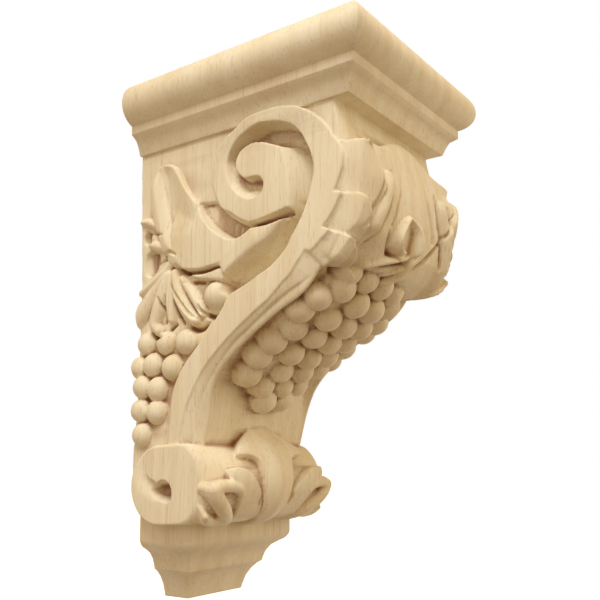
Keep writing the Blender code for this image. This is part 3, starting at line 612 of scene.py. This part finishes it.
def skin(field, corner, step):
    """A mesh over the surface of a field: a point in each crossed cell and a quad for each crossed edge."""
    solid = field < 0
    cells = tuple(n - 1 for n in field.shape)
    count = np.zeros(cells, np.int8)
    corners = [(i, j, k) for i in (0, 1) for j in (0, 1) for k in (0, 1)]

    def part(table, offset):
        return table[tuple(slice(o, o + n) for o, n in zip(offset, cells))]

    for offset in corners:
        count += part(solid, offset)
    crossed = (count > 0) & (count < 8)
    where = np.argwhere(crossed)
    number = np.full(cells, -1, np.int32)
    number[crossed] = np.arange(len(where))
    total = np.zeros((len(where), 3))
    edges = np.zeros(len(where))
    base = tuple(where.T)
    for offset in corners:
        for axis in range(3):
            if offset[axis]:
                continue
            other = list(offset)
            other[axis] = 1
            a = part(field, offset)[base]
            b = part(field, other)[base]
            hit = (a < 0) != (b < 0)
            t = np.where(hit, a / np.where(hit, a - b, 1), 0)
            spot = np.array(offset, float)[None, :].repeat(len(where), 0)
            spot[:, axis] += t
            total += np.where(hit[:, None], spot, 0)
            edges += hit
    points = (where + total / edges[:, None]) * step + np.array(corner)
    quads = []
    for axis in range(3):
        one, two = [k for k in range(3) if k != axis]
        low = [slice(1, n - 1) for n in field.shape]
        low[axis] = slice(0, field.shape[axis] - 1)
        high = list(low)
        high[axis] = slice(1, field.shape[axis])
        a, b = solid[tuple(low)], solid[tuple(high)]
        hit = np.argwhere(a != b)
        flip = a[tuple(hit.T)]
        hit[:, one] += 1
        hit[:, two] += 1
        ring = []
        for du, dv in ((0, 0), (-1, 0), (-1, -1), (0, -1)):
            cell = hit.copy()
            cell[:, one] += du
            cell[:, two] += dv
            ring.append(number[tuple(cell.T)])
        ring = np.stack(ring, 1)
        turn = flip if axis != 1 else ~flip
        ring = np.where(turn[:, None], ring, ring[:, ::-1])
        quads.append(ring)
    return points, np.vstack(quads)


def relax(points, quads, rounds, weight):
    """Evens out the steps of the grid without shrinking the form."""
    a = quads.ravel()
    b = np.roll(quads, -1, axis=1).ravel()
    ends = np.concatenate([a, b])
    others = np.concatenate([b, a])
    count = np.bincount(ends, minlength=len(points))
    for turn in range(2 * rounds):
        mean = np.stack([np.bincount(ends, points[others, k], len(points)) for k in range(3)], 1)
        mean /= count[:, None]
        pull = weight if turn % 2 == 0 else -weight * 1.03
        points = points + pull * (mean - points)
    return points


def hollowness(body, corner, step, points, radius):
    """How shut in each place is: the share of wood in a cube round it, about a half on a flat. It masks the
    painted shade in the cuts.
    """
    reach = max(int(round(radius / step)), 1)
    share = (body < 0).astype(np.float32)
    for axis in range(3):
        margins = [(reach + 1, reach) if k == axis else (0, 0) for k in range(3)]
        run = np.cumsum(np.pad(share, margins), axis=axis)
        ahead = [slice(None)] * 3
        behind = [slice(None)] * 3
        ahead[axis] = slice(2 * reach + 1, None)
        behind[axis] = slice(0, -2 * reach - 1)
        share = (run[tuple(ahead)] - run[tuple(behind)]) / (2 * reach + 1)
    spots = np.round((points - np.array(corner)) / step).astype(int)
    spots = np.clip(spots, 0, np.array(share.shape) - 1)
    return share[tuple(spots.T)]


def deselect():
    """Leaves nothing selected, in object mode."""
    if bpy.context.object and bpy.context.object.mode != "OBJECT":
        bpy.ops.object.mode_set(mode="OBJECT")
    bpy.ops.object.select_all(action="DESELECT")


def apply_modifier(piece, kind, **settings):
    """Adds a modifier to the piece and applies it."""
    bpy.context.view_layer.objects.active = piece
    bpy.ops.object.modifier_add(type=kind)
    modifier = piece.modifiers[-1]
    for key, value in settings.items():
        setattr(modifier, key, value)
    bpy.ops.object.modifier_apply(modifier=modifier.name)


def finish_piece(piece, name, material):
    """Names a finished piece, gives it its material and ties it to the corbel's frame."""
    piece.name = name
    piece.data.name = name
    piece.data.materials.clear()
    piece.data.materials.append(material)
    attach(piece, "root")
    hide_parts(NODE)


def arc(centre, radius, start, end, steps):
    """Places along an arc, as (half width, height). Angles are in degrees from the outward way."""
    angles = [math.radians(start + (end - start) * i / steps) for i in range(steps + 1)]
    return [(centre[0] + radius * math.cos(a), centre[1] + radius * math.sin(a)) for a in angles]


def grow_moulding(profile, setback):
    """A moulding on three sides: a block raised by extrusion and spread at each point of its profile."""
    deselect()
    (wide, low), (next_wide, high) = profile[:2]
    deep = wide + setback
    bpy.ops.mesh.primitive_cube_add(
        size=1, location=(0, -deep / 2, (low + high) / 2), scale=(2 * wide, deep, high - low)
    )
    piece = bpy.context.object
    bpy.ops.object.transform_apply(location=True, rotation=True, scale=True)
    bpy.ops.object.mode_set(mode="EDIT")
    bpy.ops.mesh.select_mode(type="FACE")
    shell = bmesh.from_edit_mesh(piece.data)
    for face in shell.faces:
        face.select_set(face.normal.z > 0.9)
    bmesh.update_edit_mesh(piece.data)
    bpy.ops.transform.resize(
        value=(next_wide / wide, (next_wide + setback) / deep, 1), center_override=(0, 0, high)
    )
    for (wide, low), (next_wide, high) in zip(profile[1:], profile[2:]):
        bpy.ops.mesh.extrude_region_move(TRANSFORM_OT_translate={"value": (0, 0, high - low)})
        spread = (next_wide / wide, (next_wide + setback) / (wide + setback), 1)
        bpy.ops.transform.resize(value=spread, center_override=(0, 0, high))
    bpy.ops.mesh.select_all(action="SELECT")
    bpy.ops.mesh.normals_make_consistent(inside=False)
    bpy.ops.object.mode_set(mode="OBJECT")
    return piece


def soften(piece, width):
    """Takes the sharpness off the edges, as sanding does."""
    apply_modifier(
        piece, "BEVEL", width=width, segments=2, limit_method="ANGLE", angle_limit=math.radians(32)
    )
    bpy.ops.object.shade_smooth_by_angle(angle=math.radians(30))


def mesh_from(points, quads, name):
    """A mesh from arrays of points and of quads."""
    mesh = bpy.data.meshes.new(name)
    mesh.vertices.add(len(points))
    mesh.vertices.foreach_set("co", points.astype(np.float32).ravel())
    mesh.loops.add(quads.size)
    mesh.loops.foreach_set("vertex_index", quads.astype(np.int32).ravel())
    mesh.polygons.add(len(quads))
    mesh.polygons.foreach_set("loop_start", np.arange(0, quads.size, 4, dtype=np.int32))
    mesh.update(calc_edges=True)
    return mesh


def linear(code):
    """A colour for the shaders from an sRGB hex code."""
    parts = [int(code[i:i + 2], 16) / 255 for i in (1, 3, 5)]
    return tuple(p / 12.92 if p <= 0.04045 else ((p + 0.055) / 1.055) ** 2.4 for p in parts) + (1.0,)


def add_node(tree, kind, inputs=(), **settings):
    """A shader node with its settings, and its inputs as values or as sockets to link."""
    node = tree.nodes.new(kind)
    for key, value in settings.items():
        setattr(node, key, value)
    for key, value in dict(inputs).items():
        if isinstance(value, bpy.types.NodeSocket):
            tree.links.new(value, node.inputs[key])
        else:
            node.inputs[key].default_value = value
    return node


def hardwood(finish):
    """Rubberwood, planed and carved, sanded and left unfinished.

    It gives the eye a pale straw colour with thin upright grain lines, short dark pores and no gloss,
    and a painted warm brown shade in the cuts, darker where the carving is more shut in.
    """
    material = bpy.data.materials.new("bare_rubberwood")
    material.use_nodes = True
    tree = material.node_tree
    shader = tree.nodes["Principled BSDF"]
    place = add_node(tree, "ShaderNodeTexCoord").outputs["Object"]

    # Slow waves in the grain, 60 mm wide and 250 mm long
    sway_place = add_node(tree, "ShaderNodeMapping", {"Vector": place, "Scale": (1, 1, 0.24)})
    sway = add_node(tree, "ShaderNodeTexNoise", {"Vector": sway_place.outputs[0], "Scale": 16, "Detail": 1})
    spread = add_node(
        tree, "ShaderNodeVectorMath", {0: sway.outputs["Color"], 1: (0.5, 0.5, 0.5)}, operation="SUBTRACT"
    )
    spread = add_node(tree, "ShaderNodeVectorMath", {0: spread.outputs[0], "Scale": 0.014}, operation="SCALE")
    bent = add_node(
        tree, "ShaderNodeVectorMath", {0: place, 1: spread.outputs[0]}, operation="ADD"
    ).outputs[0]

    shares = []
    for stretch, scale, detail, roughness, low, high in (
        # Fibre lines about 1.3 mm apart and 60 mm long, drawn a little coarser than real so that they show
        ((1, 1, 0.022), 620, 3, 0.6, 0.54, 0.72),
        # Growth bands 8 to 15 mm wide
        ((1, 0.7, 0.05), 95, 2, 0.5, 0.35, 0.68),
        # Pores, dark flecks 0.3 mm wide and 3 to 6 mm long
        ((1, 1, 0.07), 1500, 1, 0.5, 0.64, 0.76),
    ):
        drawn_out = add_node(tree, "ShaderNodeMapping", {"Vector": bent, "Scale": stretch}).outputs[0]
        pattern = add_node(
            tree, "ShaderNodeTexNoise",
            {"Vector": drawn_out, "Scale": scale, "Detail": detail, "Roughness": roughness},
        ).outputs["Fac"]
        shares.append(add_node(
            tree, "ShaderNodeMapRange", {"Value": pattern, "From Min": low, "From Max": high}
        ).outputs[0])
    line_share, band_share, pore_share = shares

    # Painted shade in the cuts, where the carving is more shut in than a flat
    painted_recess_shade = add_node(tree, "ShaderNodeAttribute", attribute_name="painted_recess_shade").outputs["Fac"]
    painted_shade_share = add_node(
        tree, "ShaderNodeMapRange", {"Value": painted_recess_shade, "From Min": 0.52, "From Max": 0.80},
        interpolation_type="SMOOTHSTEP",
    ).outputs[0]

    # The last mix lays the painted warm brown shade into the cuts, standing in for their shade and bounced
    # light
    colour = linear(finish.pale)
    for share, strength, tint in (
        (band_share, 1.0, finish.band), (line_share, 0.4, finish.line), (pore_share, 0.35, finish.pore),
        (painted_shade_share, 0.9, finish.painted_recess_shade),
    ):
        amount = add_node(tree, "ShaderNodeMath", {0: share, 1: strength}, operation="MULTIPLY").outputs[0]
        colour = add_node(
            tree, "ShaderNodeMix", {0: amount, 6: colour, 7: linear(tint)}, data_type="RGBA"
        ).outputs[2]
    tree.links.new(colour, shader.inputs["Base Color"])

    relief = add_node(tree, "ShaderNodeMath", {0: line_share, 1: pore_share}, operation="ADD").outputs[0]
    bump = add_node(
        tree, "ShaderNodeBump", {"Height": relief, "Strength": 0.25, "Distance": 0.0002}, invert=True
    )
    tree.links.new(bump.outputs[0], shader.inputs["Normal"])
    shader.inputs["Roughness"].default_value = 0.62
    shader.inputs["Specular IOR Level"].default_value = 0.35
    return material


def wood():
    """The corbel's wood, made once."""
    found = bpy.data.materials.get("bare_rubberwood")
    return found or hardwood(bpy.context.scene.corbel_finish)


class CorbelSizes(bpy.types.PropertyGroup):
    neck: FloatProperty(
        name="Neck", description="Half width of the neck under the cap", default=0.0638, unit="LENGTH")
    cove_reach: FloatProperty(
        name="Cove reach", description="How far the cap's cove steps out", default=0.0089, unit="LENGTH")
    bullnose: FloatProperty(
        name="Bullnose", description="Radius of the cap's bullnose", default=0.0168, unit="LENGTH")
    setback: FloatProperty(
        name="Setback", description="Depth of the cap beyond its half width", default=0.1122, unit="LENGTH")
    block: FloatProperty(
        name="Block", description="Half width of the block under the lower roll", default=0.0529,
        unit="LENGTH")
    foot_setback: FloatProperty(
        name="Foot setback", description="Depth of the foot beyond its half width", default=-0.0063,
        unit="LENGTH")
    softness: FloatProperty(
        name="Softness", description="Width of the sanded edges", default=0.0005, unit="LENGTH")
    grid: FloatProperty(
        name="Carving grid", description="Step of the grid that the carving is made on", default=0.0008,
        unit="LENGTH")
    triangles: IntProperty(
        name="Triangles", description="Most triangles in the carved body", default=192000)


class CorbelFinish(bpy.types.PropertyGroup):
    pale: StringProperty(name="Pale wood", description="Colour of the pale wood", default="#EFE7CD")
    band: StringProperty(
        name="Growth band", description="Colour of the darker growth bands", default="#E6D9B8")
    line: StringProperty(name="Grain line", description="Colour of the grain lines", default="#C9A876")
    pore: StringProperty(name="Pore", description="Colour of the pores", default="#A9834F")
    # Colour of the painted shade in the cuts, a warm brown standing in for their shade and bounced light
    painted_recess_shade: StringProperty(name="Recess", description="Colour in the cuts", default="#8E4C14")


class CorbelStage(bpy.types.PropertyGroup):
    key: FloatProperty(name="Key", description="Power of the main soft light", default=18.6, unit="POWER")
    side: FloatProperty(
        name="Side", description="Power of the light on the left side", default=4.6, unit="POWER")
    fill: FloatProperty(name="Fill", description="Power of the fill light", default=8.8, unit="POWER")
    air: FloatProperty(name="Air", description="Strength of the light from all around", default=0.44)
    glow: StringProperty(name="Glow", description="Colour of the light from all around", default="#FFCE88")
    backdrop: StringProperty(name="Backdrop", description="Colour of the backdrop", default="#FFFFFF")
    floor_drop: FloatProperty(
        name="Floor", description="Height of the floor below the corbel's middle", default=0.9, unit="LENGTH")


class CORBEL_OT_cap(bpy.types.Operator):
    """Models the moulded cap: a cove, a fillet and a bullnose on three sides"""
    bl_idname = "corbel.cap"
    bl_label = "Moulded cap"

    def execute(self, context):
        sizes = context.scene.corbel_sizes
        top = CAD_BOX[1][2]
        foot = (CAP_LOW - DROP) * MM
        fillet = sizes.neck + sizes.cove_reach
        fillet_low, fillet_high = foot + 0.0142, foot + 0.0196
        # The bullnose starts this many degrees below its own middle, a little proud of the fillet
        start_angle = -63.9
        step_out = 0.0009
        centre = (fillet + step_out - sizes.bullnose * 0.44, top - sizes.bullnose)
        cove = [(0, 0), (0.6, 1.6), (2.3, 6.3), (4.3, 10.3), (5.3, 11.0), (8.6, 13.5)]
        profile = [(sizes.neck + reach * MM, foot + rise * MM) for reach, rise in cove]
        profile += [(fillet, fillet_low), (fillet, fillet_high)]
        profile += arc(centre, sizes.bullnose, start_angle, 90, steps=18)
        cap = grow_moulding(profile, sizes.setback)
        soften(cap, sizes.softness)
        finish_piece(cap, "corbel_cap", wood())
        return {"FINISHED"}


class CORBEL_OT_foot(bpy.types.Operator):
    """Models the foot: a square block over two coves"""
    bl_idname = "corbel.foot"
    bl_label = "Moulded foot"

    def execute(self, context):
        sizes = context.scene.corbel_sizes
        low = CAD_BOX[0][2]
        edge = [
            (27.7, 0), (28.3, 2.5), (30, 8.3), (32.7, 13.4), (36.0, 17.2), (38.4, 18.7), (39.0, 21.5),
            (40.4, 25.5),
            (43.2, 29.6), (47.4, 32.4), (49.8, 33.7), (51.6, 35.6), (52.6, 37.6), (52.9, 39), (52.9, 62),
        ]
        share = sizes.block / edge[-1][0]
        profile = [(reach * share, low + rise * MM) for reach, rise in edge]
        foot = grow_moulding(profile, sizes.foot_setback)
        soften(foot, sizes.softness)
        finish_piece(foot, "corbel_foot", wood())
        return {"FINISHED"}


class CORBEL_OT_carving(bpy.types.Operator):
    """Carves the body between the cap and the foot: scroll, leaves, grapes and lower roll"""
    bl_idname = "corbel.carving"
    bl_label = "Carved body"

    def execute(self, context):
        sizes = context.scene.corbel_sizes
        step = sizes.grid / MM * 1.0
        body, corner = carved_body(step)
        points, quads = skin(body, corner, step)
        if not len(quads):
            raise RuntimeError("the carving has no surface")
        points = relax(points, quads, rounds=1, weight=0.5)
        places = points * TO_ROOM - MIDDLE
        mesh = mesh_from(places * MM, quads[:, ::-1], "corbel_carving")
        carving = bpy.data.objects.new("corbel_carving", mesh)
        context.scene.collection.objects.link(carving)
        deselect()
        carving.select_set(True)
        context.view_layer.objects.active = carving
        ratio = min(1.0, sizes.triangles / (2 * len(quads)))
        apply_modifier(carving, "DECIMATE", ratio=ratio, use_collapse_triangulate=True)
        bpy.ops.object.shade_smooth()
        spots = np.empty(3 * len(carving.data.vertices), np.float32)
        carving.data.vertices.foreach_get("co", spots)
        spots = spots.reshape(-1, 3) / MM
        spots = (spots + MIDDLE) * TO_ROOM
        # Painted shade: how shut in the carving is round each point, kept as the mask for the painted warm
        # shade in the cuts
        shut = sum(hollowness(body, corner, step, spots, reach) for reach in HOLLOW_REACHES)
        shut = shut / len(HOLLOW_REACHES)
        painted_recess_shade = carving.data.attributes.new("painted_recess_shade", "FLOAT", "POINT")
        painted_recess_shade.data.foreach_set("value", shut.astype(np.float32))
        finish_piece(carving, "corbel_carving", wood())
        return {"FINISHED"}


class CORBEL_OT_stage(bpy.types.Operator):
    """Sets up the pale floor, the soft studio light and the camera"""
    bl_idname = "corbel.stage"
    bl_label = "Stage"

    def execute(self, context):
        stage = context.scene.corbel_stage
        scene = context.scene
        scene.view_settings.view_transform = "Standard"
        deselect()
        bpy.ops.mesh.primitive_plane_add(size=FLOOR_SIZE, location=(0, 0, -stage.floor_drop))
        floor = context.object
        floor.name = "studio_floor"
        bpy.ops.object.transform_apply(location=True, rotation=True, scale=True)
        paper = bpy.data.materials.new("pale_backdrop_paper")
        paper.use_nodes = True
        shader = paper.node_tree.nodes["Principled BSDF"]
        shader.inputs["Base Color"].default_value = linear(stage.backdrop)
        shader.inputs["Roughness"].default_value = 1.0
        shader.inputs["Specular IOR Level"].default_value = 0.0
        shader.inputs["Emission Color"].default_value = linear(stage.backdrop)
        shader.inputs["Emission Strength"].default_value = 1.0
        floor.data.materials.append(paper)
        floor.visible_diffuse = False

        world = bpy.data.worlds.new("studio_air")
        scene.world = world
        world.use_nodes = True
        tree = world.node_tree
        tree.nodes.clear()
        seen = add_node(tree, "ShaderNodeBackground", {"Color": linear(stage.backdrop), "Strength": 1.0})
        way = add_node(tree, "ShaderNodeTexCoord").outputs["Generated"]
        height = add_node(tree, "ShaderNodeSeparateXYZ", {"Vector": way}).outputs["Z"]
        glow = add_node(
            tree, "ShaderNodeMapRange",
            {"Value": height, "From Min": -GLOW_SPAN, "From Max": GLOW_SPAN,
             "To Min": stage.air * GLOW_BELOW, "To Max": stage.air * GLOW_ABOVE},
        ).outputs[0]
        light = add_node(tree, "ShaderNodeBackground", {"Color": linear(stage.glow), "Strength": glow})
        rays = add_node(tree, "ShaderNodeLightPath")
        sky = add_node(
            tree, "ShaderNodeMixShader",
            {0: rays.outputs["Is Camera Ray"], 1: light.outputs[0], 2: seen.outputs[0]},
        )
        add_node(tree, "ShaderNodeOutputWorld", {"Surface": sky.outputs[0]})

        for name, spot, size, power, tint in (
            ("key_light", (-0.95, -0.45, 1.35), 0.8, stage.key, "#F8FBFC"),
            ("side_light", (-1.5, -0.3, 0.4), 1.0, stage.side, "#FAFCFC"),
            ("fill_light", (0.9, -1.3, 0.35), 1.2, stage.fill, "#FFFBEC"),
        ):
            lamp = bpy.data.lights.new(name, "AREA")
            lamp.energy = power
            lamp.size = size
            lamp.color = linear(tint)[:3]
            holder = bpy.data.objects.new(name, lamp)
            scene.collection.objects.link(holder)
            holder.location = spot
            holder.rotation_mode = "QUATERNION"
            holder.rotation_quaternion = (Vector((0, -0.08, 0)) - Vector(spot)).to_track_quat("-Z", "Y")

        camera = bpy.data.cameras.new("camera")
        camera.lens = CAMERA_LENS
        camera.sensor_width = 36
        camera.clip_start = 0.01
        holder = bpy.data.objects.new("camera", camera)
        scene.collection.objects.link(holder)
        yaw, pitch, roll = (math.radians(a) for a in CAMERA_TURNS)
        ahead = Vector((-math.sin(yaw) * math.cos(pitch), math.cos(yaw) * math.cos(pitch), math.sin(pitch)))
        right = ahead.cross(Vector((0, 0, 1))).normalized()
        up = right.cross(ahead)
        level, tall = (
            math.cos(roll) * right + math.sin(roll) * up, math.cos(roll) * up - math.sin(roll) * right
        )
        turn = Matrix((level, tall, -ahead)).transposed()
        holder.matrix_world = Matrix.Translation(CAMERA_PLACE) @ turn.to_4x4()
        scene.camera = holder
        return {"FINISHED"}


class CORBEL_PT_panel(bpy.types.Panel):
    """Lists the corbel's sizes, finish and the steps that model it"""
    bl_idname = "CORBEL_PT_panel"
    bl_label = "Carved corbel"
    bl_space_type = "VIEW_3D"
    bl_region_type = "UI"
    bl_category = "Corbel"

    def draw(self, context):
        for settings in (context.scene.corbel_sizes, context.scene.corbel_finish, context.scene.corbel_stage):
            box = self.layout.box()
            for name in settings.__annotations__:
                box.prop(settings, name)
        for operator in OPERATORS:
            self.layout.operator(operator.bl_idname)


OPERATORS = (CORBEL_OT_cap, CORBEL_OT_foot, CORBEL_OT_carving, CORBEL_OT_stage)
SETTINGS = {"corbel_sizes": CorbelSizes, "corbel_finish": CorbelFinish, "corbel_stage": CorbelStage}


def register():
    """Makes the settings, the operators and the panel known to Blender."""
    for name, group in SETTINGS.items():
        bpy.utils.register_class(group)
        setattr(bpy.types.Scene, name, bpy.props.PointerProperty(type=group))
    for item in OPERATORS + (CORBEL_PT_panel,):
        bpy.utils.register_class(item)


def unregister():
    """Takes them away again."""
    for item in reversed(OPERATORS + (CORBEL_PT_panel,)):
        bpy.utils.unregister_class(item)
    for name, group in SETTINGS.items():
        delattr(bpy.types.Scene, name)
        bpy.utils.unregister_class(group)


def main():
    """Registers the add-on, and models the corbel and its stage."""
    register()
    bpy.ops.corbel.cap()
    bpy.ops.corbel.foot()
    bpy.ops.corbel.carving()
    bpy.ops.corbel.stage()


if __name__ == "__main__":
    main()
